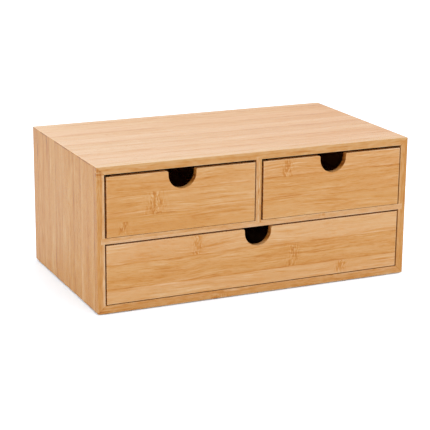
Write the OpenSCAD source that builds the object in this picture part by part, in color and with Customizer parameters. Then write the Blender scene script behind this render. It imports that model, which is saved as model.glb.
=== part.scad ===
// Desktop mini drawers: a mitred bamboo case with two small drawers side by side
// over one full-width drawer. Every drawer is opened by a finger notch in the top
// edge of its front.
//
// Millimetres. +X to the right, +Y to the back, +Z up. The origin is on the
// surface that the case stands on, under the middle of the case.

/* [Case] */
// Outside width of the case
case_w = 350; // [300:1:400]
// Outside depth of the case
case_d = 200; // [160:1:240]
// Height of the case above its feet
case_h = 150; // [130:1:180]
// Thickness of the top, bottom and side panels
panel_t = 8; // [7:0.5:12]
// Thickness of the shelf and of the divider
web_t = 6; // [5:0.5:7]
// Height of the compartment under the shelf
lower_h = 63.6; // [50:0.1:66]
// Depth of the grooves in the sides that hold the shelf
shelf_groove = 4; // [2:0.5:5]
// Depth of the groove in the top panel that holds the divider
divider_top_groove = 3; // [1:0.5:5]
// Depth of the groove in the shelf that holds the divider
divider_foot_groove = 2; // [1:0.5:3]

/* [Back] */
// Thickness of the back panel
back_t = 4; // [3:0.5:6]
// Width of the rebate that the back panel sits in
rebate_w = 4; // [3:0.5:5]

/* [Drawers] */
// Gap beside each upper drawer when it stands in the middle of its opening
upper_side_gap = 1.7; // [0.8:0.1:2]
// How far to the right of that middle the upper drawers stand in their play
upper_drift = 0.5; // [-0.5:0.1:0.5]
// Gap beside the lower drawer
lower_side_gap = 1.5; // [0.8:0.1:2]
// Gap over the fronts of the upper drawers
upper_top_gap = 2.7; // [1:0.1:4]
// Running gap under the upper drawers
upper_foot_gap = 0.4; // [0.3:0.1:1]
// Gap over the front of the lower drawer
lower_top_gap = 1.7; // [0.8:0.1:4]
// Running gap under the lower drawer
lower_foot_gap = 0.5; // [0.3:0.1:1]
// How far the lower drawer's front is cut short of the lower edges of its sides
lower_front_cut = 0.4; // [0:0.1:1]
// Gap between a closed drawer and the back panel that stops it
back_gap = 0.5; // [0.4:0.1:2]
// Thickness of a drawer front
front_t = 6.5; // [6:0.5:12]
// Thickness of the sides and back of a drawer
wall_t = 6; // [5:0.5:8]
// How far the sides and back stay below the top of the front
wall_drop = 6; // [3:0.5:10]
// Thickness of a drawer's floor
floor_t = 3; // [2:0.5:4]
// Height of the floor over the lower edge of the drawer
floor_lift = 4; // [3:0.5:8]
// Depth of the groove that the floor sits in
floor_groove = 3; // [2:0.5:4]

/* [Finger notch] */
// Radius of the round bottom of the notch
notch_r = 15; // [10:0.5:15]
// Depth of the notch below the top edge of the front
notch_depth = 18.9; // [17:0.1:22]
// Radius of the lips where the notch meets the top edge
lip_r = 2; // [1:0.1:2.4]

/* [Brads] */
// Diameter of a brad's shank
shank_d = 1.2; // [1:0.1:1.4]
// Diameter of a brad's head
brad_head_d = 2.4; // [2:0.1:2.6]
// Thickness of a brad's head
brad_head_h = 0.5; // [0.4:0.1:0.8]
// Length of the brads in the back panel
back_brad_l = 16; // [12:1:20]
// Length of the brads in the drawers
drawer_brad_l = 16; // [12:1:18]

/* [Feet] */
// Diameter of a foot pad
pad_d = 12; // [8:1:16]
// Thickness of a foot pad
pad_t = 1; // [0.8:0.1:3]
// Distance from the edges of the case to the middle of a pad
pad_inset = 14; // [10:1:30]

/* [Hidden] */
$fn = 48;

LEFT = -1;
RIGHT = 1;
FRONT = -1;
BACK = 1;
// Cutters reach this far past the faces that they open
past = 1;
// Radial room round a brad in its hole
brad_room = 0.05;
// Width of a brad's blunt point
brad_point_d = 0.2;

// Colours
bamboo = [0.84, 0.64, 0.41];
bamboo_pale = [0.91, 0.77, 0.62];
bamboo_box = [0.86, 0.70, 0.50];
steel = [0.72, 0.72, 0.70];
rubber_brown = [0.24, 0.20, 0.17];

// Levels and faces of the case
front_y = -case_d / 2;
back_y = case_d / 2;
base_z = pad_t;
top_z = base_z + case_h;
inner_w = case_w - 2 * panel_t;
lower_floor_z = base_z + panel_t;
shelf_z = lower_floor_z + lower_h;
upper_floor_z = shelf_z + web_t;
ceiling_z = top_z - panel_t;
back_front_y = back_y - back_t;
clear_d = back_front_y - front_y;

// Sizes of the drawers
upper_w = (inner_w - web_t) / 2 - 2 * upper_side_gap;
lower_w = inner_w - 2 * lower_side_gap;
upper_front_h = ceiling_z - upper_floor_z - upper_top_gap - upper_foot_gap;
lower_front_h = lower_h - lower_top_gap - lower_foot_gap;
drawer_d = clear_d - back_gap;
// Share of the front's thickness that laps over the ends of the sides
lap_share = 0.4;
lap = lap_share * front_t;
side_l = drawer_d - lap;

// Places of the drawers: the middle of the lower front edge of each
upper_x = (inner_w + web_t) / 4;
left_place = [-upper_x + upper_drift, front_y, upper_floor_z + upper_foot_gap];
right_place = [upper_x + upper_drift, front_y, upper_floor_z + upper_foot_gap];
bottom_place = [0, front_y, lower_floor_z + lower_foot_gap];

// Brads of the back panel, as [x, z]: two rails, two sides and the shelf. The
// shares are of the case's height and width, from its bottom and from its left
back_brad_edge = panel_t - rebate_w / 2;
rail_brads = 4;
rail_brad_margin = 25;
side_brad_shares = [0.28, 0.72];
shelf_brad_shares = [0.3, 0.7];
rail_brad_pitch = (case_w - 2 * rail_brad_margin) / rail_brads;
rail_brad_x = [for (i = [0:rail_brads - 1]) (i - (rail_brads - 1) / 2) * rail_brad_pitch];
side_brad_z = [for (share = side_brad_shares) base_z + share * case_h];
shelf_brad_x = [for (share = shelf_brad_shares) (share - 0.5) * case_w];
back_brad_places = concat(
    [for (x = rail_brad_x, z = [base_z + back_brad_edge, top_z - back_brad_edge]) [x, z]],
    [for (side = [LEFT, RIGHT], z = side_brad_z) [side * (case_w / 2 - back_brad_edge), z]],
    [for (x = shelf_brad_x) [x, shelf_z + web_t / 2]]
);

// Heights of the two brads in each corner of a drawer, as shares of the wall
brad_shares = [0.3, 0.78];

// ---- Case --------------------------------------------------------------

// Section of one panel of the mitred case, lying along X with its outer face at
// z = 0 and its inner face at z = -panel_t
module mitred_section(length) {
    polygon([
        [-length / 2, 0],
        [length / 2, 0],
        [length / 2 - panel_t, -panel_t],
        [-length / 2 + panel_t, -panel_t]
    ]);
}

// One mitred panel, with the rebate for the back panel along its inner back edge
module mitred_panel(length) {
    difference() {
        translate([0, back_y, 0])
            rotate([90, 0, 0])
                linear_extrude(height = case_d)
                    mitred_section(length);
        translate([-length / 2, back_front_y, -panel_t - past])
            cube([length, back_t + past, panel_t - rebate_w + past]);
    }
}

// Groove of width w cut depth deep into the inner face of a mitred panel
module cross_groove(w, depth) {
    translate([-w / 2, front_y - past, -panel_t - past])
        cube([w, clear_d + past, depth + past]);
}

// Turns a panel's own frame, outer face up, to each side of the case
module on_top() translate([0, 0, top_z]) children();
module on_bottom() translate([0, 0, base_z]) rotate([0, 180, 0]) children();
module on_side(side)
    translate([side * case_w / 2, 0, base_z + case_h / 2]) rotate([0, side * 90, 0]) children();

// Brad with its head's outer face at z = 0 and its point towards -z. With room
// it is the hole for one, which runs out past the face of the wood
module brad(length, room = 0) {
    tip_l = shank_d;
    head_top = room > 0 ? past : 0;
    union() {
        translate([0, 0, -brad_head_h - room])
            cylinder(d = brad_head_d + 2 * room, h = brad_head_h + room + head_top);
        translate([0, 0, -length + tip_l])
            cylinder(d = shank_d + 2 * room, h = length - tip_l);
        translate([0, 0, -length - room])
            cylinder(d1 = brad_point_d, d2 = shank_d + 2 * room, h = tip_l + room);
    }
}

// All the brads of the back panel, or the holes for them
module back_brad_set(room = 0) {
    for (place = back_brad_places)
        translate([place[0], back_y, place[1]])
            rotate([-90, 0, 0])
                brad(back_brad_l, room);
}

module top_panel() {
    color(bamboo_pale)
        difference() {
            on_top()
                difference() {
                    mitred_panel(case_w);
                    cross_groove(web_t, divider_top_groove);
                }
            back_brad_set(brad_room);
        }
}

module bottom_panel() {
    color(bamboo)
        difference() {
            on_bottom() mitred_panel(case_w);
            back_brad_set(brad_room);
        }
}

module side_panel(side) {
    shelf_mid = shelf_z + web_t / 2 - base_z - case_h / 2;
    color(bamboo)
        difference() {
            on_side(side)
                difference() {
                    mitred_panel(case_h);
                    translate([-side * shelf_mid, 0, 0]) cross_groove(web_t, shelf_groove);
                }
            back_brad_set(brad_room);
        }
}

module left_side() side_panel(LEFT);
module right_side() side_panel(RIGHT);

module middle_shelf() {
    shelf_w = inner_w + 2 * shelf_groove;
    color(bamboo)
        difference() {
            translate([-shelf_w / 2, front_y, shelf_z]) cube([shelf_w, clear_d, web_t]);
            translate([-web_t / 2, front_y - past, upper_floor_z - divider_foot_groove])
                cube([web_t, clear_d + 2 * past, divider_foot_groove + past]);
            back_brad_set(brad_room);
        }
}

module centre_divider() {
    divider_z = upper_floor_z - divider_foot_groove;
    divider_h = ceiling_z + divider_top_groove - divider_z;
    color(bamboo)
        translate([-web_t / 2, front_y, divider_z]) cube([web_t, clear_d, divider_h]);
}

module back_panel() {
    back_w = inner_w + 2 * rebate_w;
    back_h = case_h - 2 * panel_t + 2 * rebate_w;
    color(bamboo_box)
        difference() {
            translate([-back_w / 2, back_front_y, base_z + panel_t - rebate_w])
                cube([back_w, back_t, back_h]);
            back_brad_set(brad_room);
        }
}

module back_brads() {
    color(steel) back_brad_set();
}

module foot_pads() {
    color(rubber_brown)
        for (x = [LEFT, RIGHT], y = [FRONT, BACK])
            translate([x * (case_w / 2 - pad_inset), y * (case_d / 2 - pad_inset), 0])
                cylinder(d = pad_d, h = pad_t);
}

// ---- Drawers -----------------------------------------------------------
// A drawer's own frame: x from the middle, y from the front face, z from the
// lower edge.

// Outline of the finger notch under the top edge of a front
module notch_outline(front_h) {
    neck_z = front_h - notch_depth + notch_r;
    union() {
        translate([0, neck_z]) circle(r = notch_r);
        translate([-notch_r, neck_z]) square([2 * notch_r, front_h - neck_z + past]);
        // The neck widens into a round lip at each side
        difference() {
            translate([-notch_r - lip_r, front_h - lip_r])
                square([2 * (notch_r + lip_r), lip_r + past]);
            for (side = [LEFT, RIGHT])
                translate([side * (notch_r + lip_r), front_h - lip_r]) circle(r = lip_r);
        }
    }
}

// Brads of one drawer, or the holes for them: two in each corner, driven through
// the sides into the ends of the front and of the back
module drawer_brad_set(w, front_h, room = 0) {
    wall_h = front_h - wall_drop;
    brad_ys = [(lap + front_t) / 2, drawer_d - wall_t / 2];
    for (side = [LEFT, RIGHT], y = brad_ys, share = brad_shares)
        translate([side * w / 2, y, wall_h * share])
            rotate([0, side * 90, 0])
                brad(drawer_brad_l, room);
}

// Space that the floor panel takes, which is also the cutter for its grooves
module floor_slab(w, stretch = 0) {
    slab_w = w - 2 * (wall_t - floor_groove) + 2 * stretch;
    slab_d = drawer_d - front_t - wall_t + 2 * floor_groove;
    translate([-slab_w / 2, front_t - floor_groove, floor_lift])
        cube([slab_w, slab_d, floor_t]);
}

// Front of a drawer, whose lower edge is cut short by foot_cut
module drawer_front(w, front_h, foot_cut = 0) {
    color(bamboo)
        difference() {
            translate([0, front_t, 0])
                rotate([90, 0, 0])
                    linear_extrude(height = front_t)
                        difference() {
                            translate([-w / 2, foot_cut]) square([w, front_h - foot_cut]);
                            notch_outline(front_h);
                        }
            // Rebates that take the front ends of the sides
            for (side = [LEFT, RIGHT])
                translate([side * (w / 2 + past / 2 - wall_t / 2), front_t, front_h / 2])
                    cube([wall_t + past, 2 * (front_t - lap), front_h + 2 * past], center = true);
            floor_slab(w, wall_t);
            drawer_brad_set(w, front_h, brad_room);
        }
}

module drawer_side(w, front_h, side) {
    wall_h = front_h - wall_drop;
    wall_x = side == LEFT ? -w / 2 : w / 2 - wall_t;
    groove_x = side == LEFT ? wall_x + wall_t - floor_groove : wall_x - past;
    color(bamboo_box)
        difference() {
            translate([wall_x, lap, 0]) cube([wall_t, side_l, wall_h]);
            translate([groove_x, 0, floor_lift])
                cube([floor_groove + past, drawer_d + past, floor_t]);
            drawer_brad_set(w, front_h, brad_room);
        }
}

module drawer_back(w, front_h) {
    wall_h = front_h - wall_drop;
    color(bamboo_box)
        difference() {
            translate([-w / 2 + wall_t, drawer_d - wall_t, 0])
                cube([w - 2 * wall_t, wall_t, wall_h]);
            floor_slab(w, wall_t);
            drawer_brad_set(w, front_h, brad_room);
        }
}

module drawer_floor(w) {
    color(bamboo_pale) floor_slab(w);
}

module drawer_brads(w, front_h) {
    color(steel) drawer_brad_set(w, front_h);
}

module left_drawer_front() translate(left_place) drawer_front(upper_w, upper_front_h);
module left_drawer_left_side() translate(left_place) drawer_side(upper_w, upper_front_h, LEFT);
module left_drawer_right_side() translate(left_place) drawer_side(upper_w, upper_front_h, RIGHT);
module left_drawer_back() translate(left_place) drawer_back(upper_w, upper_front_h);
module left_drawer_floor() translate(left_place) drawer_floor(upper_w);
module left_drawer_brads() translate(left_place) drawer_brads(upper_w, upper_front_h);

module right_drawer_front() translate(right_place) drawer_front(upper_w, upper_front_h);
module right_drawer_left_side() translate(right_place) drawer_side(upper_w, upper_front_h, LEFT);
module right_drawer_right_side() translate(right_place) drawer_side(upper_w, upper_front_h, RIGHT);
module right_drawer_back() translate(right_place) drawer_back(upper_w, upper_front_h);
module right_drawer_floor() translate(right_place) drawer_floor(upper_w);
module right_drawer_brads() translate(right_place) drawer_brads(upper_w, upper_front_h);

module bottom_drawer_front()
    translate(bottom_place) drawer_front(lower_w, lower_front_h, lower_front_cut);
module bottom_drawer_left_side() translate(bottom_place) drawer_side(lower_w, lower_front_h, LEFT);
module bottom_drawer_right_side() translate(bottom_place) drawer_side(lower_w, lower_front_h, RIGHT);
module bottom_drawer_back() translate(bottom_place) drawer_back(lower_w, lower_front_h);
module bottom_drawer_floor() translate(bottom_place) drawer_floor(lower_w);
module bottom_drawer_brads() translate(bottom_place) drawer_brads(lower_w, lower_front_h);

// ---- Nodes -------------------------------------------------------------

top_panel();
bottom_panel();
left_side();
right_side();
middle_shelf();
centre_divider();
back_panel();
back_brads();
foot_pads();
left_drawer_front();
left_drawer_left_side();
left_drawer_right_side();
left_drawer_back();
left_drawer_floor();
left_drawer_brads();
right_drawer_front();
right_drawer_left_side();
right_drawer_right_side();
right_drawer_back();
right_drawer_floor();
right_drawer_brads();
bottom_drawer_front();
bottom_drawer_left_side();
bottom_drawer_right_side();
bottom_drawer_back();
bottom_drawer_floor();
bottom_drawer_brads();
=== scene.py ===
import math

import bmesh
import bpy
from mathutils import Matrix, Vector


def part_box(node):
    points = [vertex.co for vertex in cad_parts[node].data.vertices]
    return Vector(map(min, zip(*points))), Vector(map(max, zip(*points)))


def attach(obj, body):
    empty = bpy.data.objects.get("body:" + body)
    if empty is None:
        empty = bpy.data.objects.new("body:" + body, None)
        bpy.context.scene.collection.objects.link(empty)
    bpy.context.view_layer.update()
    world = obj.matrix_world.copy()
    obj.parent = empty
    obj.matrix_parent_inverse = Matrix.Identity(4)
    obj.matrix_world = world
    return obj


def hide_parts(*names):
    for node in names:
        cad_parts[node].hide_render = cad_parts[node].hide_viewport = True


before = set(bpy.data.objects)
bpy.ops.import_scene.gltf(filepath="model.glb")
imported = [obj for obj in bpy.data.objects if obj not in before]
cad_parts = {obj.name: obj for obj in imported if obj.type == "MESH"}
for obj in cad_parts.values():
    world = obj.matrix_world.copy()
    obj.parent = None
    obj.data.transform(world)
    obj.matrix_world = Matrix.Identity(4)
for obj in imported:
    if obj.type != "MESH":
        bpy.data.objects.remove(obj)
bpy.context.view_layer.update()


# ---- Top panel -----------------------------------------------------------
# The lid of the case: a board of plain-pressed bamboo in three plies of strips,
# mitred to both sides and grooved for the divider. The arrises are sanded round
# after glue-up, so the rounding runs on over the mitre, and then it is lacquered.

MM = 0.001
HAIR = 0.01 * MM
TOUCHING = 5 * HAIR
WELD_REACH = HAIR / 5
CUT_SNAP = HAIR / 10
OUTER_ARRIS_R = 0.5 * MM
INNER_ARRIS_R = 0.18 * MM
MITRE_ARRIS_R = 0.8 * MM

CASE_HALF_W = 175 * MM
CASE_FRONT = -100 * MM
CASE_BASE = 1 * MM
CASE_TOP = 151 * MM
PANEL_T = 8 * MM
PLY = 2.7 * MM
CEILING = 143 * MM

FLAT_TURN = math.radians(0.5)
LEAST_ARRIS_TURN = math.radians(60)
CREASE_TURN = math.radians(40)
SQUARE_FACING = 0.9999


def board_solid(node):
    """The board as it was cut: the frame's solid, welded, with each flat face in one."""
    solid = bmesh.new()
    solid.from_mesh(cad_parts[node].data)
    bmesh.ops.remove_doubles(solid, verts=solid.verts, dist=WELD_REACH)
    bmesh.ops.dissolve_limit(solid, angle_limit=FLAT_TURN, verts=solid.verts, edges=solid.edges)
    return solid


def round_mitre(solid, side, end, radius, flat):
    """Planes the outer corner of a mitre to its half of a round. side and end are -1
    or 1: left or right, bottom or top. flat is true for the board that lies flat."""
    level = CASE_TOP if end > 0 else CASE_BASE
    centre = Vector((side * (CASE_HALF_W - radius), 0, level - end * radius))
    strokes = 2
    half_corner = math.radians(45)
    for stroke in range(strokes):
        turn = half_corner * (stroke + 0.5) / strokes
        if not flat:
            turn = 2 * half_corner - turn
        out = Vector((side * math.sin(turn), 0, end * math.cos(turn)))
        reach = radius * math.cos(half_corner / 2 / strokes)
        bmesh.ops.bisect_plane(
            solid,
            geom=solid.verts[:] + solid.edges[:] + solid.faces[:],
            dist=CUT_SNAP,
            plane_co=centre + out * reach,
            plane_no=out,
            clear_outer=True,
        )
        open_edges = [e for e in solid.edges if e.is_boundary]
        bmesh.ops.holes_fill(solid, edges=open_edges, sides=0)


def sand_arrises(solid, radius, wanted):
    """Rounds the outside arrises between points a and b where wanted(a, b) is true."""
    chosen = []
    for edge in solid.edges:
        if len(edge.link_faces) != 2 or not edge.is_convex:
            continue
        if edge.calc_face_angle() < LEAST_ARRIS_TURN:
            continue
        if wanted(edge.verts[0].co, edge.verts[1].co):
            chosen.append(edge)
    bmesh.ops.bevel(
        solid,
        geom=chosen,
        offset=radius,
        offset_type="OFFSET",
        segments=3,
        profile=0.5,
        affect="EDGES",
        clamp_overlap=False,
    )


def near(a, b):
    return abs(a - b) < TOUCHING


def in_mitre(point):
    """Whether a point lies in the plane of one of the case's four mitres."""
    inward = CASE_HALF_W - abs(point.x)
    return near(inward, CASE_TOP - point.z) or near(inward, point.z - CASE_BASE)


def finished_board(name, solid, material):
    """The board as a piece: its flats flat, and its sanded rounds smooth."""
    bmesh.ops.recalc_face_normals(solid, faces=solid.faces)
    for face in solid.faces:
        face.smooth = max(abs(turn) for turn in face.normal) < SQUARE_FACING
    for edge in solid.edges:
        turned = len(edge.link_faces) != 2 or edge.calc_face_angle() > CREASE_TURN
        edge.smooth = not turned
    mesh = bpy.data.meshes.new(name)
    solid.to_mesh(mesh)
    solid.free()
    mesh.materials.append(material)
    piece = bpy.data.objects.new(name, mesh)
    bpy.context.scene.collection.objects.link(piece)
    return piece


def feed(tree, socket, value):
    """Links a socket, or sets the value that stands on it."""
    if isinstance(value, bpy.types.NodeSocket):
        tree.links.new(value, socket)
    else:
        socket.default_value = value


def calc(tree, operation, *values):
    node = tree.nodes.new("ShaderNodeMath")
    node.operation = operation
    for socket, value in zip(node.inputs, values):
        feed(tree, socket, value)
    return node.outputs[0]


def calc_vector(tree, operation, *values):
    node = tree.nodes.new("ShaderNodeVectorMath")
    node.operation = operation
    for socket, value in zip(node.inputs, values):
        feed(tree, socket, value)
    return node.outputs["Value" if operation == "DOT_PRODUCT" else "Vector"]


def parts_of(tree, vector):
    node = tree.nodes.new("ShaderNodeSeparateXYZ")
    feed(tree, node.inputs[0], vector)
    return node.outputs[0], node.outputs[1], node.outputs[2]


def vector_of(tree, x, y, z):
    node = tree.nodes.new("ShaderNodeCombineXYZ")
    for socket, value in zip(node.inputs, (x, y, z)):
        feed(tree, socket, value)
    return node.outputs[0]


def step(tree, value, low, high, at_low=0.0, at_high=1.0):
    """A soft step: at_low up to low, at_high from high on."""
    node = tree.nodes.new("ShaderNodeMapRange")
    node.interpolation_type = "SMOOTHSTEP"
    for socket, given in zip(node.inputs, (value, low, high, at_low, at_high)):
        feed(tree, socket, given)
    return node.outputs[0]


def hump(tree, value, width):
    """1 where value is 0, falling away to both sides over width."""
    scaled = calc(tree, "DIVIDE", value, width)
    squared = calc(tree, "MULTIPLY", scaled, scaled)
    return calc(tree, "EXPONENT", calc(tree, "MULTIPLY", squared, -1.0))


def centred(tree, value):
    """A value from 0 to 1, moved so that it swings to both sides of 0."""
    return calc(tree, "SUBTRACT", value, 0.5)


def built_up(tree, *layers):
    """Layers added up in turn. A layer is a value, or a value and its weight."""
    total = None
    for layer in layers:
        if isinstance(layer, tuple):
            layer = calc(tree, "MULTIPLY", *layer)
        total = layer if total is None else calc(tree, "ADD", total, layer)
    return total


# The colour sockets of a mix, by number, because several of its sockets share a name.
MIX_FACTOR, MIX_FIRST, MIX_SECOND, MIX_RESULT = 0, 6, 7, 2


def mixed(tree, blend, factor, a, b):
    """Two colours mixed, or one laid over the other by the named blend."""
    node = tree.nodes.new("ShaderNodeMix")
    node.data_type = "RGBA"
    node.blend_type = blend
    for index, value in ((MIX_FACTOR, factor), (MIX_FIRST, a), (MIX_SECOND, b)):
        feed(tree, node.inputs[index], value)
    return node.outputs[MIX_RESULT]


def grain_noise(tree, vector, along, across, detail):
    """Noise drawn out along the grain. along and across are the size of its marks."""
    node = tree.nodes.new("ShaderNodeTexNoise")
    node.inputs["Scale"].default_value = 1.0
    node.inputs["Detail"].default_value = detail
    node.inputs["Roughness"].default_value = 0.55
    scaled = calc_vector(tree, "MULTIPLY", vector, (1 / along, 1 / across, 1 / across))
    feed(tree, node.inputs["Vector"], scaled)
    return node.outputs["Fac"]


def new_group(name, takes, gives):
    """A shader node group with named inputs and outputs, and its two end nodes."""
    tree = bpy.data.node_groups.new(name, "ShaderNodeTree")
    for label, kind, standard in takes:
        socket = tree.interface.new_socket(name=label, in_out="INPUT", socket_type=kind)
        if standard is not None:
            socket.default_value = standard
    for label, kind in gives:
        tree.interface.new_socket(name=label, in_out="OUTPUT", socket_type=kind)
    taken = tree.nodes.new("NodeGroupInput").outputs
    given = tree.nodes.new("NodeGroupOutput").inputs
    return tree, taken, given


FLOAT, VECTOR, COLOUR = "NodeSocketFloat", "NodeSocketVector", "NodeSocketColor"

# Where a point lies in its board: along the grain, across the strips and down
# through the plies. End Grain is 1 on a face that cuts the grain square, and Edge
# Grain on one that shows the plies from the side.
board_place, taken, given = new_group(
    "place in the board",
    [("Position", VECTOR, None), ("Normal", VECTOR, None), ("Corner", VECTOR, None),
     ("Along", VECTOR, None), ("Across", VECTOR, None), ("Through", VECTOR, None)],
    [("Grain", VECTOR), ("End Grain", FLOAT), ("Edge Grain", FLOAT)],
)
from_corner = calc_vector(board_place, "SUBTRACT", taken["Position"], taken["Corner"])
feed(board_place, given["Grain"], vector_of(
    board_place,
    calc_vector(board_place, "DOT_PRODUCT", from_corner, taken["Along"]),
    calc_vector(board_place, "DOT_PRODUCT", from_corner, taken["Across"]),
    calc_vector(board_place, "DOT_PRODUCT", from_corner, taken["Through"]),
))
for label, way in (("End Grain", "Along"), ("Edge Grain", "Across")):
    facing = calc_vector(board_place, "DOT_PRODUCT", taken["Normal"], taken[way])
    facing = calc(board_place, "ABSOLUTE", facing)
    feed(board_place, given[label], step(board_place, facing, low=0.55, high=0.9))

# How near a point is to an arris of a box: the middle one of its distances to the
# box's three pairs of faces. The pale band along the arris is partly real wear and partly a painted
# highlight; it is uneven, 0.6 to 1.6 widths wide.
LEAST_PALE_BAND_WIDTH = 0.6
arris_wear_and_highlight, taken, given = new_group(
    "arris wear and highlight",
    [("Position", VECTOR, None), ("Middle", VECTOR, None), ("Half Size", VECTOR, None),
     ("Width", FLOAT, 1 * MM)],
    [("Wear", FLOAT)],
)
offset = calc_vector(arris_wear_and_highlight, "SUBTRACT", taken["Position"], taken["Middle"])
offset = calc_vector(arris_wear_and_highlight, "ABSOLUTE", offset)
x, y, z = parts_of(arris_wear_and_highlight, calc_vector(arris_wear_and_highlight, "SUBTRACT", taken["Half Size"], offset))
smaller = calc(arris_wear_and_highlight, "MINIMUM", x, y)
larger = calc(arris_wear_and_highlight, "MAXIMUM", x, y)
middle_one = calc(arris_wear_and_highlight, "MAXIMUM", smaller, calc(arris_wear_and_highlight, "MINIMUM", larger, z))
uneven = grain_noise(arris_wear_and_highlight, taken["Position"], along=6 * MM, across=6 * MM, detail=3.0)
uneven = calc(arris_wear_and_highlight, "ADD", uneven, LEAST_PALE_BAND_WIDTH)
pale_band_width = calc(arris_wear_and_highlight, "MULTIPLY", taken["Width"], uneven)
off_arris = calc(arris_wear_and_highlight, "DIVIDE", middle_one, pale_band_width)
feed(arris_wear_and_highlight, given["Wear"], step(arris_wear_and_highlight, off_arris, low=0.2, high=1.2, at_low=1.0, at_high=0.0))

# The glue line of a mitre, where it comes out at the surface: thin, dark and broken.
# Over the sanded corner it bends in, and at the case's foot it shows half as much.
MITRE_LINE_W = 0.5 * MM
MITRE_BEND = 1.1 * MM
MITRE_BEND_REACH = 1.5 * MM
FOOT_SHARE = 0.5
mitre_line, taken, given = new_group("mitre line", [("Position", VECTOR, None)], [("Line", FLOAT)])
x, y, z = parts_of(mitre_line, taken["Position"])
inward = calc(mitre_line, "SUBTRACT", CASE_HALF_W, calc(mitre_line, "ABSOLUTE", x))
sanded = step(mitre_line, inward, low=0.0, high=MITRE_BEND_REACH, at_low=MITRE_BEND, at_high=0.0)
meets = calc(mitre_line, "ADD", inward, sanded)
off_top = calc(mitre_line, "SUBTRACT", meets, calc(mitre_line, "SUBTRACT", CASE_TOP, z))
off_base = calc(mitre_line, "SUBTRACT", meets, calc(mitre_line, "SUBTRACT", z, CASE_BASE))
at_top = hump(mitre_line, off_top, MITRE_LINE_W)
at_base = calc(mitre_line, "MULTIPLY", hump(mitre_line, off_base, MITRE_LINE_W), FOOT_SHARE)
shown = calc(mitre_line, "MAXIMUM", at_top, at_base)
broken = grain_noise(mitre_line, taken["Position"], along=16 * MM, across=16 * MM, detail=2.0)
broken = step(mitre_line, broken, low=0.42, high=0.58, at_low=0.1, at_high=1.0)
in_panel = calc(mitre_line, "LESS_THAN", inward, PANEL_T + HAIR)
broken = calc(mitre_line, "MULTIPLY", broken, in_panel)
feed(mitre_line, given["Line"], calc(mitre_line, "MULTIPLY", shown, broken))

# One knuckle of the culm, where it crosses one strip. The fibres sway round it, and
# short upright dashes, brown and pale, lie across the strip in a broken band.
BAND_WANDER = 8 * MM
FIBRE_SWAY = 6 * MM
SEED_TO_DASHES = 0.7
PALE_SHARE = 0.55
BAND_TONE = 0.10
knuckle, taken, given = new_group(
    "knuckle",
    [("Grain", VECTOR, None), ("Knuckles", FLOAT, 0.0), ("At", FLOAT, 0.0), ("From", FLOAT, 0.0),
     ("To", FLOAT, 20 * MM), ("Reach", FLOAT, 7 * MM), ("Strength", FLOAT, 1.0),
     ("Seed", FLOAT, 0.0), ("Depth", FLOAT, PLY)],
    [("Grain", VECTOR), ("Knuckles", FLOAT)],
)
x, y, z = parts_of(knuckle, taken["Grain"])
middle = calc(knuckle, "MULTIPLY", calc(knuckle, "ADD", taken["From"], taken["To"]), 0.5)
half = calc(knuckle, "MULTIPLY", calc(knuckle, "SUBTRACT", taken["To"], taken["From"]), 0.5)
past = calc(knuckle, "SUBTRACT", x, taken["At"])
above = calc(knuckle, "SUBTRACT", y, middle)
own_spot = vector_of(knuckle, past, above, taken["Seed"])
wander = centred(knuckle, grain_noise(knuckle, own_spot, along=12 * MM, across=12 * MM, detail=1.0))
off_band = built_up(knuckle, past, (wander, BAND_WANDER))
up = calc(knuckle, "ABSOLUTE", calc(knuckle, "DIVIDE", above, half))
in_strip = step(knuckle, up, low=0.80, high=1.02, at_low=1.0, at_high=0.0)
in_ply = calc(knuckle, "LESS_THAN", z, taken["Depth"])
inside = calc(knuckle, "MULTIPLY", in_strip, in_ply)
inside = calc(knuckle, "MULTIPLY", inside, taken["Strength"])
band = calc(knuckle, "MULTIPLY", hump(knuckle, off_band, taken["Reach"]), inside)
dash_place = vector_of(knuckle, off_band, y, calc(knuckle, "MULTIPLY", taken["Seed"], SEED_TO_DASHES))
dash = centred(knuckle, grain_noise(knuckle, dash_place, along=1.5 * MM, across=5.8 * MM, detail=1.5))
clumps = grain_noise(knuckle, own_spot, along=9 * MM, across=9 * MM, detail=1.0)
clumped = step(knuckle, clumps, low=0.40, high=0.62, at_low=0.30, at_high=1.5)
brown = calc(knuckle, "MULTIPLY", step(knuckle, dash, low=-0.06, high=0.14), clumped)
pale = calc(knuckle, "MULTIPLY", step(knuckle, dash, low=-0.04, high=-0.18), PALE_SHARE)
speckle = calc(knuckle, "ADD", calc(knuckle, "SUBTRACT", brown, pale), BAND_TONE)
feed(knuckle, given["Knuckles"], built_up(knuckle, taken["Knuckles"], (speckle, band)))
sway = calc(knuckle, "MULTIPLY", centred(knuckle, clumps), band)
swayed = built_up(knuckle, y, (sway, FIBRE_SWAY))
feed(knuckle, given["Grain"], vector_of(knuckle, x, swayed, z))

# The bamboo itself: strips side by side in plies, each of its own tone, with glue
# lines between them, broad and narrow streaks, and the short dark fibre ends.
bamboo, taken, given = new_group(
    "bamboo",
    [("Grain", VECTOR, None), ("Strip Width", FLOAT, 20 * MM), ("Strip Start", FLOAT, 0.0),
     ("Ply", FLOAT, PLY), ("Ply Step", FLOAT, 0.0), ("Seed", FLOAT, 0.0), ("Tone", FLOAT, 0.5),
     ("Contrast", FLOAT, 1.0), ("Strip Contrast", FLOAT, 1.0), ("Joints", FLOAT, 0.2),
     ("Drift", FLOAT, 0.0), ("Drift Across", FLOAT, 0.0), ("Edge Tone", FLOAT, 0.0),
     ("Hue", FLOAT, 0.0), ("Knuckles", FLOAT, 0.0), ("End Grain", FLOAT, 0.0),
     ("Edge Grain", FLOAT, 0.0), ("Wear", FLOAT, 0.0), ("Mitre", FLOAT, 0.0)],
    [("Color", COLOUR), ("Roughness", FLOAT), ("Height", FLOAT)],
)
edge_grain = taken["Edge Grain"]
end_grain = taken["End Grain"]

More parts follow.
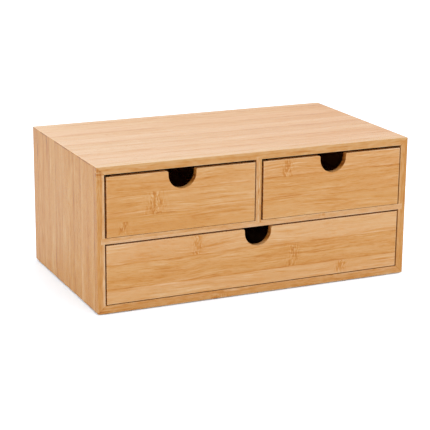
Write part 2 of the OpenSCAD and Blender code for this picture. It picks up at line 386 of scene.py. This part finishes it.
# Which strip of which ply a point lies in, and how far it is from the glue joint. The
# joints of each ply are staggered from those of the one above.
PLY_STAGGER = 0.37
x, y, z = parts_of(bamboo, taken["Grain"])
ply = calc(bamboo, "FLOOR", calc(bamboo, "DIVIDE", calc(bamboo, "ADD", z, HAIR), taken["Ply"]))
count = calc(bamboo, "SUBTRACT", y, taken["Strip Start"])
count = calc(bamboo, "DIVIDE", count, taken["Strip Width"])
count = built_up(bamboo, count, (ply, PLY_STAGGER))
strip = calc(bamboo, "FLOOR", count)
within = calc(bamboo, "FRACT", count)
to_joint = calc(bamboo, "MINIMUM", within, calc(bamboo, "SUBTRACT", 1.0, within))
to_joint = calc(bamboo, "MULTIPLY", to_joint, taken["Strip Width"])

# Each strip has a tone, a hue and a gloss of its own, and its fibres are moved by an
# offset of its own, so that no grain runs on from strip to strip.
OWN_OFFSET = (1.7, 0.31, 0.23)
FIBRE_WAVE = 12 * MM
own = bamboo.nodes.new("ShaderNodeTexWhiteNoise")
own.noise_dimensions = "3D"
feed(bamboo, own.inputs["Vector"], vector_of(bamboo, strip, ply, taken["Seed"]))
own_tone, own_hue, own_gloss = parts_of(bamboo, own.outputs["Color"])
own_place = calc_vector(bamboo, "MULTIPLY", own.outputs["Color"], OWN_OFFSET)
fibre_place = calc_vector(bamboo, "ADD", taken["Grain"], own_place)
wave = centred(bamboo, grain_noise(bamboo, fibre_place, along=110 * MM, across=30 * MM, detail=1.0))
wave = calc(bamboo, "MULTIPLY", wave, FIBRE_WAVE)
fibre_place = calc_vector(bamboo, "ADD", fibre_place, vector_of(bamboo, 0.0, wave, 0.0))

# The marks of the grain, from broad bands to single fibre ends, and the glue joints.
JOINT_W = 0.5 * MM
JOINT_STAIN_W = 1.8 * MM
JOINT_STAIN = 0.4
broad = centred(bamboo, grain_noise(bamboo, fibre_place, along=120 * MM, across=8 * MM, detail=1.0))
patch = grain_noise(bamboo, fibre_place, along=60 * MM, across=11 * MM, detail=1.0)
patch = step(bamboo, patch, low=0.38, high=0.62, at_low=0.35, at_high=1.5)
streak = centred(bamboo, grain_noise(bamboo, fibre_place, along=34 * MM, across=1.2 * MM, detail=2.5))
lined = calc(bamboo, "MULTIPLY", streak, patch)
fine = grain_noise(bamboo, fibre_place, along=42 * MM, across=2.1 * MM, detail=2.0)
fine_dark = step(bamboo, fine, low=0.54, high=0.68)
fine_pale = step(bamboo, fine, low=0.46, high=0.32)
fine = calc(bamboo, "MULTIPLY", calc(bamboo, "SUBTRACT", fine_dark, fine_pale), patch)
fibre_mark = grain_noise(bamboo, fibre_place, along=8 * MM, across=0.45 * MM, detail=1.5)
fibre_mark = step(bamboo, fibre_mark, low=0.48, high=0.66)
glue = built_up(bamboo, hump(bamboo, to_joint, JOINT_W), (hump(bamboo, to_joint, JOINT_STAIN_W), JOINT_STAIN))
glue_gaps = grain_noise(bamboo, fibre_place, along=30 * MM, across=30 * MM, detail=1.0)
glue_gaps = step(bamboo, glue_gaps, low=0.38, high=0.60, at_low=0.12, at_high=1.0)
glue = calc(bamboo, "MULTIPLY", glue, glue_gaps)
mottle = centred(bamboo, grain_noise(bamboo, fibre_place, along=10 * MM, across=2.8 * MM, detail=2.0))
cut_ends = grain_noise(bamboo, vector_of(bamboo, 0.0, y, z), along=1.0, across=4.2 * MM, detail=2.0)
cut_ends = step(bamboo, cut_ends, low=0.42, high=0.58, at_low=0.22, at_high=0.58)

# How deep the colour is, from 0 for the palest wood to 1 for the darkest. Each mark is
# laid on with its own weight, and arrises are paler, partly from wear and partly from a painted highlight.
FIBRE_MARK_MEAN = 0.3
TILT_SPREAD = 7.31
KNUCKLE_WEIGHT = 0.33
KNUCKLE_LIMIT = 0.26
MOTTLE_WEIGHT = 0.40
# How much paler the arrises are: partly real wear, partly a painted highlight.
PALE_WEAR_AND_HIGHLIGHT = 0.16
PALE_WEAR_AND_HIGHLIGHT_RANGE = 0.25
fibre_depth = calc(bamboo, "SUBTRACT", fibre_mark, FIBRE_MARK_MEAN)
marks = built_up(bamboo, (broad, 0.32), (lined, 0.50), (fine, 0.095), (fibre_depth, 0.15))
tilt = calc(bamboo, "FRACT", calc(bamboo, "MULTIPLY", own_tone, TILT_SPREAD))
tilt = calc(bamboo, "MULTIPLY", centred(bamboo, within), centred(bamboo, tilt))
strip_tone = built_up(bamboo, (centred(bamboo, own_tone), 0.16), (tilt, 0.26))
strip_tone = calc(bamboo, "MULTIPLY", strip_tone, taken["Strip Contrast"])
drifted = built_up(bamboo, (x, taken["Drift"]), (y, taken["Drift Across"]))
edge_blend = calc(bamboo, "SUBTRACT", taken["Edge Tone"], drifted)
drifted = built_up(bamboo, drifted, (edge_blend, edge_grain))
knuckle_tone = calc(bamboo, "MULTIPLY", taken["Knuckles"], KNUCKLE_WEIGHT)
knuckle_tone = calc(bamboo, "MINIMUM", knuckle_tone, KNUCKLE_LIMIT)
depth = built_up(
    bamboo,
    (marks, taken["Contrast"]),
    strip_tone,
    taken["Tone"],
    (ply, taken["Ply Step"]),
    drifted,
    (glue, taken["Joints"]),
    knuckle_tone,
    (taken["Mitre"], 0.55),
    (calc(bamboo, "MULTIPLY", mottle, MOTTLE_WEIGHT), edge_grain),
    (end_grain, cut_ends),
)
# The arrises are paled here: partly real wear, partly a painted highlight.
worn_and_lit = built_up(bamboo, PALE_WEAR_AND_HIGHLIGHT, (centred(bamboo, own_gloss), PALE_WEAR_AND_HIGHLIGHT_RANGE))
depth = calc(bamboo, "SUBTRACT", depth, calc(bamboo, "MULTIPLY", taken["Wear"], worn_and_lit))

# The colour at each depth, turned a little to red or to green strip by strip. The
# edges of the plies are a shade greyer.
PALEST_WOOD = (0.770, 0.520, 0.300, 1)
DARKEST_WOOD = (0.270, 0.080, 0.012, 1)
RED_CAST = (1.010, 0.965, 1.020, 1)
GREEN_CAST = (0.990, 1.030, 0.960, 1)
EDGE_CAST = (0.950, 0.955, 0.975, 1)
tones = bamboo.nodes.new("ShaderNodeValToRGB")
ramp = tones.color_ramp
ramp.elements[0].color = PALEST_WOOD
ramp.elements[1].color = DARKEST_WOOD
for position, colour in (
    (0.15, (0.725, 0.450, 0.225, 1)),
    (0.30, (0.680, 0.378, 0.154, 1)),
    (0.45, (0.628, 0.304, 0.088, 1)),
    (0.60, (0.570, 0.236, 0.040, 1)),
    (0.78, (0.470, 0.160, 0.020, 1)),
):
    ramp.elements.new(position).color = colour
feed(bamboo, tones.inputs["Fac"], depth)
hue_drift = grain_noise(bamboo, fibre_place, along=90 * MM, across=9 * MM, detail=1.0)
off_edge = calc(bamboo, "SUBTRACT", 1.0, edge_grain)
hue_mix = built_up(bamboo, (own_hue, 0.5), (hue_drift, 0.5), (taken["Hue"], off_edge))
cast = mixed(bamboo, "MIX", hue_mix, RED_CAST, GREEN_CAST)
tinted = mixed(bamboo, "MULTIPLY", 1.0, tones.outputs["Color"], cast)
feed(bamboo, given["Color"], mixed(bamboo, "MULTIPLY", edge_grain, tinted, EDGE_CAST))

# The satin of the lacquer, duller where fibre ends and end grain drink it, and the
# fine relief that it leaves.
LACQUER_ROUGHNESS = 0.24
feed(bamboo, given["Roughness"], built_up(
    bamboo, LACQUER_ROUGHNESS, (streak, 0.10), (own_gloss, 0.06), (end_grain, 0.12), (fibre_mark, 0.05),
))
feed(bamboo, given["Height"], built_up(
    bamboo, (streak, 0.5), (fibre_mark, -0.35), (glue, -0.6), (taken["Knuckles"], 0.3),
))

X, Y, Z = (1, 0, 0), (0, 1, 0), (0, 0, 1)
LACQUER_IOR = 1.46
LACQUER_RELIEF = 0.025 * MM
LACQUER_BUMP = 0.6
# The width of the pale arris band, which is partly wear and partly a painted highlight.
PALE_ARRIS_BAND_W = 0.7 * MM


def bamboo_material(name, node, corner, along, across, through, strip_w, strip_start, ply, seed,
                    tone, contrast, ply_step=0.0, strip_contrast=1.0, joints=0.2, drift=0.0,
                    drift_across=0.0, edge_tone=0.0, hue=0.0, knuckles=(), knuckle_depth=None,
                    mitred=False, relief=LACQUER_RELIEF):
    """Lacquered bamboo for one board. corner is where its grain is counted from, and
    knuckles are (along, from, to, reach, strength, seed), in metres from there. They
    go down through the first ply, or to knuckle_depth."""
    material = bpy.data.materials.new(name)
    material.use_nodes = True
    tree = material.node_tree
    shader = tree.nodes["Principled BSDF"]
    shader.inputs["IOR"].default_value = LACQUER_IOR

    def use(group, **values):
        placed = tree.nodes.new("ShaderNodeGroup")
        placed.node_tree = group
        for label, value in values.items():
            feed(tree, placed.inputs[label.replace("_", " ")], value)
        return placed.outputs

    where = tree.nodes.new("ShaderNodeTexCoord").outputs
    place = use(board_place, Position=where["Object"], Normal=where["Normal"], Corner=corner,
                Along=along, Across=across, Through=through)
    grain = place["Grain"]
    marks = 0.0
    for at, low, high, reach, strength, own_seed in knuckles:
        crossed = use(knuckle, Grain=grain, Knuckles=marks, At=at, From=low, To=high,
                      Reach=reach, Strength=strength, Seed=own_seed, Depth=knuckle_depth or ply)
        grain, marks = crossed["Grain"], crossed["Knuckles"]
    low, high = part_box(node)
    # The pale band along the arrises: partly wear, partly a painted highlight.
    worn_and_lit = use(arris_wear_and_highlight, Position=where["Object"], Middle=(low + high) / 2,
               Half_Size=(high - low) / 2, Width=PALE_ARRIS_BAND_W)
    glued = use(mitre_line, Position=where["Object"])["Line"] if mitred else 0.0
    wood = use(bamboo, Grain=grain, Strip_Width=strip_w, Strip_Start=strip_start, Ply=ply,
               Ply_Step=ply_step, Seed=seed, Tone=tone, Contrast=contrast,
               Strip_Contrast=strip_contrast, Joints=joints, Drift=drift,
               Drift_Across=drift_across, Edge_Tone=edge_tone, Hue=hue, Knuckles=marks,
               End_Grain=place["End Grain"], Edge_Grain=place["Edge Grain"],
               Wear=worn_and_lit["Wear"], Mitre=glued)
    bump = tree.nodes.new("ShaderNodeBump")
    bump.inputs["Strength"].default_value = LACQUER_BUMP
    bump.inputs["Distance"].default_value = relief
    feed(tree, bump.inputs["Height"], wood["Height"])
    feed(tree, shader.inputs["Base Color"], wood["Color"])
    feed(tree, shader.inputs["Roughness"], wood["Roughness"])
    feed(tree, shader.inputs["Normal"], bump.outputs["Normal"])
    return material


def top_outer_arris(a, b):
    across = near(a.y, b.y) and near(a.z, CASE_TOP) and near(b.z, CASE_TOP)
    return across and not (in_mitre(a) and in_mitre(b) and near(a.x, b.x))


def ceiling_arris(a, b):
    at_front = near(a.y, CASE_FRONT) and near(b.y, CASE_FRONT)
    return at_front and near(a.z, CEILING) and near(b.z, CEILING)


top_solid = board_solid("top_panel")
for side in (-1, 1):
    round_mitre(top_solid, side, 1, MITRE_ARRIS_R, flat=True)
sand_arrises(top_solid, OUTER_ARRIS_R, top_outer_arris)
sand_arrises(top_solid, INNER_ARRIS_R, ceiling_arris)
# The lid's pale tone, and its drifts darker to the right and to the back, are painted sheen and painted
# light: they stand in for the lacquer's reflection and for the light falling brighter at the lid's left
# front. Its front edge keeps the board's own tone.
top_bamboo = bamboo_material(
    "bamboo top", "top_panel", (-CASE_HALF_W, CASE_FRONT, CASE_TOP), X, Y, (0, 0, -1),
    strip_w=22 * MM, strip_start=11 * MM, ply=PLY, ply_step=0.02, seed=1.0, tone=0.12,
    contrast=1.05, joints=0.28, drift=0.68, drift_across=0.60, edge_tone=0.28, hue=-0.15,
    mitred=True, relief=0.012 * MM,
    knuckles=[
        (58 * MM, 121 * MM, 136 * MM, 3.5 * MM, 0.5, 1.0),
        (208 * MM, 136 * MM, 150 * MM, 4 * MM, 0.45, 2.0),
        (141 * MM, 112 * MM, 126 * MM, 4 * MM, 0.35, 3.0),
        (203 * MM, 99 * MM, 112 * MM, 3.5 * MM, 0.35, 4.0),
    ],
)
top_panel = finished_board("case_top_panel", top_solid, top_bamboo)
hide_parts("top_panel")
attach(top_panel, "case")


# ---- Bottom panel --------------------------------------------------------
# The bamboo board that the case stands on, in two thicker plies, with the same mitres
# as the lid. Its underside is seen only when the case is turned over.

FLOOR_INSIDE = 9 * MM


def bottom_outer_arris(a, b):
    return near(a.y, b.y) and near(a.z, CASE_BASE) and near(b.z, CASE_BASE)


def inner_floor_arris(a, b):
    at_front = near(a.y, CASE_FRONT) and near(b.y, CASE_FRONT)
    return at_front and near(a.z, FLOOR_INSIDE) and near(b.z, FLOOR_INSIDE)


bottom_solid = board_solid("bottom_panel")
for side in (-1, 1):
    round_mitre(bottom_solid, side, -1, MITRE_ARRIS_R, flat=True)
sand_arrises(bottom_solid, OUTER_ARRIS_R, bottom_outer_arris)
sand_arrises(bottom_solid, INNER_ARRIS_R, inner_floor_arris)
bottom_bamboo = bamboo_material(
    "bamboo bottom", "bottom_panel", (-CASE_HALF_W, CASE_FRONT, CASE_BASE), X, Y, Z,
    strip_w=21 * MM, strip_start=-5 * MM, ply=PLY * 1.5, seed=2.0, tone=0.415, contrast=1.2,
    mitred=True, knuckles=[(135.2 * MM, -5 * MM, 16 * MM, 7 * MM, 0.9, 5.0)],
)
bottom_panel = finished_board("case_bottom_panel", bottom_solid, bottom_bamboo)
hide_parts("bottom_panel")
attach(bottom_panel, "case")


# ---- Sides ---------------------------------------------------------------
# Two upright bamboo boards with the grain running up and down, mitred to the lid and
# the bottom. A groove across the inner face of each holds the shelf.

INNER_HALF_W = 167 * MM


def side_outer_arris(a, b):
    return near(a.y, b.y) and near(abs(a.x), CASE_HALF_W) and near(abs(b.x), CASE_HALF_W)


def side_inner_arris(a, b):
    at_front = near(a.y, CASE_FRONT) and near(b.y, CASE_FRONT)
    return at_front and near(abs(a.x), INNER_HALF_W) and near(abs(b.x), INNER_HALF_W)


SIDES = {
    "left": dict(
        seed=3.0, contrast=1.25, edge_tone=-0.10, hue=0.42, knuckle_depth=PANEL_T + HAIR,
        knuckles=[(145 * MM, -4 * MM, 4 * MM, 7 * MM, 1.6, 6.0)],
    ),
    "right": dict(
        seed=4.0, contrast=0.95, edge_tone=0.02, hue=-0.3,
        knuckles=[(96 * MM, 62 * MM, 82 * MM, 7 * MM, 0.6, 7.0)],
    ),
}

for side, word in ((-1, "left"), (1, "right")):
    side_solid = board_solid(word + "_side")
    for end in (-1, 1):
        round_mitre(side_solid, side, end, MITRE_ARRIS_R, flat=False)
    sand_arrises(side_solid, OUTER_ARRIS_R, side_outer_arris)
    sand_arrises(side_solid, INNER_ARRIS_R, side_inner_arris)
    side_bamboo = bamboo_material(
        "bamboo side " + word, word + "_side",
        (side * CASE_HALF_W, CASE_FRONT, CASE_BASE), Z, Y, (-side, 0, 0),
        strip_w=19.6 * MM, strip_start=8.5 * MM, ply=PLY, ply_step=-0.01, tone=0.455,
        strip_contrast=1.2, drift=0.44, drift_across=0.42, mitred=True, **SIDES[word],
    )
    side_panel = finished_board("case_" + word + "_side", side_solid, side_bamboo)
    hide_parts(word + "_side")
    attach(side_panel, "case")


# ---- Shelf ---------------------------------------------------------------
# A thinner bamboo board that carries the two small drawers. Its ends are let into the
# sides and show as a lighter block in their front edges.

SHELF_UNDER = 72.6 * MM
SHELF_TOP = 78.6 * MM
DIVIDER_HALF_T = 3 * MM


def scored(solid, point, normal):
    """Scores a line round the board, where an arris stops being rounded."""
    bmesh.ops.bisect_plane(
        solid,
        geom=solid.verts[:] + solid.edges[:] + solid.faces[:],
        dist=CUT_SNAP,
        plane_co=point,
        plane_no=normal,
    )


def shelf_arris(a, b):
    if not (near(a.y, CASE_FRONT) and near(b.y, CASE_FRONT)):
        return False
    middle = (a + b) / 2
    in_side = abs(middle.x) > INNER_HALF_W
    in_groove = abs(middle.x) < DIVIDER_HALF_T + HAIR and middle.z > SHELF_UNDER + HAIR
    return not in_side and not in_groove


shelf_solid = board_solid("middle_shelf")
for side in (-1, 1):
    scored(shelf_solid, (side * INNER_HALF_W, 0, 0), X)
sand_arrises(shelf_solid, INNER_ARRIS_R, shelf_arris)
shelf_bamboo = bamboo_material(
    "bamboo shelf", "middle_shelf", (-CASE_HALF_W, CASE_FRONT, SHELF_TOP), X, Y, (0, 0, -1),
    strip_w=20 * MM, strip_start=-7 * MM, ply=3.1 * MM, seed=5.0, tone=0.26, contrast=1.0,
    knuckles=[(251 * MM, -7 * MM, 13 * MM, 7 * MM, 0.4, 8.0)],
)
shelf = finished_board("case_shelf", shelf_solid, shelf_bamboo)
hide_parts("middle_shelf")
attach(shelf, "case")


# ---- Divider -------------------------------------------------------------
# The bamboo upright between the two small drawers, let into the lid above and into
# the shelf below. Its grain stands upright like that of the sides.

def divider_arris(a, b):
    middle = (a + b) / 2
    at_front = near(a.y, CASE_FRONT) and near(b.y, CASE_FRONT)
    return at_front and SHELF_TOP < middle.z < CEILING and near(abs(middle.x), DIVIDER_HALF_T)


divider_solid = board_solid("centre_divider")
for level in (SHELF_TOP, CEILING):
    scored(divider_solid, (0, 0, level), Z)
sand_arrises(divider_solid, INNER_ARRIS_R, divider_arris)
divider_bamboo = bamboo_material(
    "bamboo divider", "centre_divider", (-DIVIDER_HALF_T, CASE_FRONT, 0), Z, Y, X,
    strip_w=19 * MM, strip_start=-4 * MM, ply=2.1 * MM, seed=6.0, tone=0.355, contrast=2.2, hue=-0.25,
)
divider = finished_board("case_divider", divider_solid, divider_bamboo)
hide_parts("centre_divider")
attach(divider, "case")


# ---- Back panel ----------------------------------------------------------
# A thin veneered bamboo board, set into rebates and nailed, which squares up the case.
# Its arrises lie inside the rebates and are left as they were cut.

CASE_BACK = 100 * MM

back_bamboo = bamboo_material(
    "bamboo back", "back_panel", (-CASE_HALF_W, CASE_BACK, CASE_BASE), X, Z, (0, -1, 0),
    strip_w=20 * MM, strip_start=6 * MM, ply=2 * MM, seed=7.0, tone=0.44, contrast=1.0,
    knuckles=[
        (92 * MM, 46 * MM, 66 * MM, 7 * MM, 0.7, 9.0),
        (248 * MM, 86 * MM, 106 * MM, 7 * MM, 0.8, 10.0),
        (170 * MM, 106 * MM, 126 * MM, 7 * MM, 0.6, 11.0),
        (300 * MM, 26 * MM, 46 * MM, 7 * MM, 0.7, 12.0),
    ],
)
back_panel = finished_board("case_back_panel", board_solid("back_panel"), back_bamboo)
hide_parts("back_panel")
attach(back_panel, "case")


# ---- Brads ---------------------------------------------------------------
# Bright drawn wire brads with flat heads. They nail the back panel to the case and
# the sides of each drawer to its front and back.

TARNISHED_STEEL = (0.40, 0.38, 0.35, 1)
BRIGHT_STEEL = (0.62, 0.61, 0.59, 1)

brad_steel = bpy.data.materials.new("brad steel")
brad_steel.use_nodes = True
tree = brad_steel.node_tree
where = tree.nodes.new("ShaderNodeTexCoord").outputs["Object"]
shader = tree.nodes["Principled BSDF"]
shader.inputs["Metallic"].default_value = 1.0
tarnish = grain_noise(tree, where, along=1.1 * MM, across=1.1 * MM, detail=3.0)
scratch = grain_noise(tree, where, along=3 * MM, across=0.12 * MM, detail=1.0)
colours = tree.nodes.new("ShaderNodeValToRGB")
colours.color_ramp.elements[0].position = 0.35
colours.color_ramp.elements[0].color = TARNISHED_STEEL
colours.color_ramp.elements[1].position = 0.65
colours.color_ramp.elements[1].color = BRIGHT_STEEL
feed(tree, colours.inputs["Fac"], tarnish)
feed(tree, shader.inputs["Base Color"], colours.outputs["Color"])
scuffed = step(tree, scratch, low=0.35, high=0.65, at_low=0.28, at_high=0.48)
feed(tree, shader.inputs["Roughness"], scuffed)
bump = tree.nodes.new("ShaderNodeBump")
bump.inputs["Distance"].default_value = 0.01 * MM
feed(tree, bump.inputs["Height"], scratch)
feed(tree, shader.inputs["Normal"], bump.outputs["Normal"])

for node in ("back_brads", "left_drawer_brads", "right_drawer_brads", "bottom_drawer_brads"):
    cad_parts[node].data.materials.clear()
    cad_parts[node].data.materials.append(brad_steel)


# ---- Foot pads -----------------------------------------------------------
# Four thin moulded rubber pads glued under the corners of the bottom panel.
# They are matt and finely pitted, and grey with a little dust.

PAD_BROWN = (0.030, 0.022, 0.017, 1)
PAD_DUSTY = (0.075, 0.060, 0.048, 1)

pad_rubber = bpy.data.materials.new("pad rubber")
pad_rubber.use_nodes = True
tree = pad_rubber.node_tree
where = tree.nodes.new("ShaderNodeTexCoord").outputs["Object"]
shader = tree.nodes["Principled BSDF"]
pores = grain_noise(tree, where, along=0.4 * MM, across=0.4 * MM, detail=2.0)
dust = grain_noise(tree, where, along=4 * MM, across=4 * MM, detail=3.0)
colours = tree.nodes.new("ShaderNodeValToRGB")
colours.color_ramp.elements[0].position = 0.3
colours.color_ramp.elements[0].color = PAD_BROWN
colours.color_ramp.elements[1].position = 0.75
colours.color_ramp.elements[1].color = PAD_DUSTY
feed(tree, colours.inputs["Fac"], dust)
feed(tree, shader.inputs["Base Color"], colours.outputs["Color"])
matt = step(tree, pores, low=0.3, high=0.7, at_low=0.7, at_high=0.9)
feed(tree, shader.inputs["Roughness"], matt)
bump = tree.nodes.new("ShaderNodeBump")
bump.inputs["Distance"].default_value = 0.03 * MM
feed(tree, bump.inputs["Height"], pores)
feed(tree, shader.inputs["Normal"], bump.outputs["Normal"])
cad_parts["foot_pads"].data.materials.clear()
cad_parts["foot_pads"].data.materials.append(pad_rubber)


# ---- Drawer fronts -------------------------------------------------------
# Each front is a bamboo board with the grain across it and a finger notch sawn in its
# top edge. The face's arrises and the notch are sanded round by hand.

FRONT_ARRIS_R = 0.25 * MM
DRAWERS = {
    "left": dict(
        strip_w=23 * MM, strip_start=19 * MM, seed=10.0, tone=0.437, joints=0.12, drift=-0.40,
        knuckles=[
            (52.1 * MM, 18 * MM, 43 * MM, 9 * MM, 1.1, 43.0),
            (17.8 * MM, 1 * MM, 15 * MM, 7 * MM, 0.9, 2.0),
        ],
    ),
    "right": dict(
        strip_w=24 * MM, strip_start=20 * MM, seed=20.0, tone=0.465, joints=0.15,
        knuckles=[(26.8 * MM, 42 * MM, 61 * MM, 5.5 * MM, 0.95, 25.0)],
    ),
    "bottom": dict(
        strip_w=25.3 * MM, strip_start=14.8 * MM, seed=30.0, tone=0.362, joints=0.22,
        knuckles=[
            (97.9 * MM, 40.1 * MM, 61 * MM, 6 * MM, 1.0, 24.0),
            (205.3 * MM, 14.8 * MM, 40.1 * MM, 6 * MM, 0.85, 1.0),
            (263.6 * MM, 0, 14.8 * MM, 6 * MM, 0.9, 6.0),
        ],
    ),
}


def front_arris(a, b):
    return near(a.y, CASE_FRONT) and near(b.y, CASE_FRONT)


for word, made in DRAWERS.items():
    name = word + "_drawer_front"
    front_solid = board_solid(name)
    sand_arrises(front_solid, FRONT_ARRIS_R, front_arris)
    front_bamboo = bamboo_material(
        "bamboo front " + word, name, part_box(name)[0], X, Z, Y, ply=PLY, contrast=1.0, **made
    )
    front = finished_board(word + "_drawer_face", front_solid, front_bamboo)
    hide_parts(name)
    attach(front, word + "_drawer")


# ---- Drawer sides and backs ----------------------------------------------
# Thinner bamboo boards, nailed, with a groove inside for the floor. The sides are let
# into rebates behind the front, the back stands between them, and all three stop
# short of the front's top edge. They are sanded and thinly lacquered.

WALL_RIM_R = 0.5 * MM
WALL_STRIP_MM = 20
for word, made in DRAWERS.items():
    for part, seed_step in (("left_side", 1), ("right_side", 2), ("back", 3)):
        name = word + "_drawer_" + part
        low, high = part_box(name)

        def rim_arris(a, b):
            return near(a.z, high.z) and near(b.z, high.z)

        wall_solid = board_solid(name)
        sand_arrises(wall_solid, WALL_RIM_R, rim_arris)
        if part == "back":
            along, across, through, corner = X, Z, Y, low
        elif part == "left_side":
            along, across, through, corner = Y, Z, X, low
        else:
            along, across, through, corner = Y, Z, (-1, 0, 0), Vector((high.x, low.y, low.z))
        joint_mm = 4 + 5 * seed_step
        knuckle_mm = 40 + 37 * seed_step
        wall_bamboo = bamboo_material(
            "bamboo wall " + name.replace("_", " "), name, corner, along, across, through,
            strip_w=WALL_STRIP_MM * MM, strip_start=joint_mm * MM, ply=2 * MM,
            seed=made["seed"] + seed_step, tone=0.38, contrast=0.9,
            knuckles=[(knuckle_mm * MM, joint_mm * MM, (joint_mm + WALL_STRIP_MM) * MM, 7 * MM, 0.7, 19.0)],
        )
        wall = finished_board(word + "_drawer_wall_" + part, wall_solid, wall_bamboo)
        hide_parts(name)
        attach(wall, word + "_drawer")


# ---- Drawer floors -------------------------------------------------------
# A thin veneered bamboo board slid into the grooves before the back goes on. Its
# grain runs from front to back.

FLOOR_SEED_STEP = 5
for word, made in DRAWERS.items():
    name = word + "_drawer_floor"
    low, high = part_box(name)
    floor_bamboo = bamboo_material(
        "bamboo floor " + word, name, low, Y, X, Z,
        strip_w=20 * MM, strip_start=7 * MM, ply=1.5 * MM,
        seed=made["seed"] + FLOOR_SEED_STEP, tone=0.34, contrast=0.9,
        knuckles=[
            (60 * MM, 27 * MM, 47 * MM, 7 * MM, 0.7, 20.0),
            (120 * MM, 67 * MM, 87 * MM, 7 * MM, 0.7, 21.0),
            (95 * MM, 107 * MM, 127 * MM, 7 * MM, 0.6, 22.0),
        ],
    )
    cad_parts[name].data.materials.clear()
    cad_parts[name].data.materials.append(floor_bamboo)


# ---- Studio --------------------------------------------------------------
# A white sweep in an even white room, with five soft boxes: in front, at the left, at
# the right, above and behind. To the camera alone the sweep is brighter than white
# paint can be, so that it shows white and still takes the shadow under the case.

SWEEP_HALF_W = 6.0
SWEEP_WHITE = (0.86, 0.86, 0.86, 1)
SWEEP_TO_CAMERA = (1.15, 1.285, 1.42, 1)
sweep = bpy.data.meshes.new("floor")
corners = [(x * SWEEP_HALF_W, y * SWEEP_HALF_W, 0) for x, y in ((-1, -1), (1, -1), (1, 1), (-1, 1))]
sweep.from_pydata(corners, [], [(0, 1, 2, 3)])
floor = bpy.data.objects.new("floor", sweep)
bpy.context.scene.collection.objects.link(floor)

floor_white = bpy.data.materials.new("floor white")
floor_white.use_nodes = True
tree = floor_white.node_tree
tree.nodes.clear()
plain = tree.nodes.new("ShaderNodeBsdfDiffuse")
plain.inputs["Color"].default_value = SWEEP_WHITE
bright = tree.nodes.new("ShaderNodeBsdfDiffuse")
bright.inputs["Color"].default_value = SWEEP_TO_CAMERA
mix = tree.nodes.new("ShaderNodeMixShader")
light_path = tree.nodes.new("ShaderNodeLightPath")
surface = tree.nodes.new("ShaderNodeOutputMaterial")
feed(tree, mix.inputs["Fac"], light_path.outputs["Is Camera Ray"])
feed(tree, mix.inputs[1], plain.outputs[0])
feed(tree, mix.inputs[2], bright.outputs[0])
feed(tree, surface.inputs["Surface"], mix.outputs[0])
sweep.materials.append(floor_white)

room = bpy.data.worlds.new("white room")
bpy.context.scene.world = room
room.use_nodes = True
background = room.node_tree.nodes["Background"]
background.inputs["Color"].default_value = (1, 1, 1, 1)
background.inputs["Strength"].default_value = 1.0


def soft_lamp(name, place, aim, size, power):
    """A square soft box at place, turned to aim."""
    light = bpy.data.lights.new(name, "AREA")
    light.size = size
    light.energy = power
    lamp = bpy.data.objects.new(name, light)
    lamp.location = place
    lamp.rotation_euler = (Vector(aim) - Vector(place)).to_track_quat("-Z", "Y").to_euler()
    bpy.context.scene.collection.objects.link(lamp)


soft_lamp("front soft box", place=(0.4, -2.2, 1.1), aim=(0, 0, 0.07), size=1.4, power=3.1)
soft_lamp("left soft box", place=(-2.2, 0.1, 1.3), aim=(0, 0, 0.07), size=1.4, power=4.3)
soft_lamp("right soft box", place=(1.5, -0.5, 1.7), aim=(0, 0, 0.1), size=1.0, power=3.5)
soft_lamp("upper soft box", place=(0.6, -0.35, 1.2), aim=(0.05, 0, 0.15), size=0.6, power=1.15)
soft_lamp("back soft box", place=(-0.1, 2.4, 1.1), aim=(0, 0, 0.1), size=1.2, power=5.2)

# The camera stands in front of the case, to its left and above it. Its three axes are
# written out, and it looks along the opposite of the last one.
CAMERA_PLACE = Vector((-0.634061, -1.377000, 0.489438))
lens = bpy.data.cameras.new("camera")
lens.sensor_width = 36.0
lens.lens = 121.288
lens.clip_start = 0.05
lens.clip_end = 50.0
camera = bpy.data.objects.new("camera", lens)
right = Vector((0.910080, -0.414338, 0.008858))
up = Vector((0.105599, 0.252506, 0.961816))
back = Vector((-0.400753, -0.874394, 0.273554))
turned = Matrix((right, up, back)).transposed().to_4x4()
turned.translation = CAMERA_PLACE
camera.matrix_world = turned
bpy.context.scene.collection.objects.link(camera)
bpy.context.scene.camera = camera
bpy.context.scene.view_settings.view_transform = "Standard"
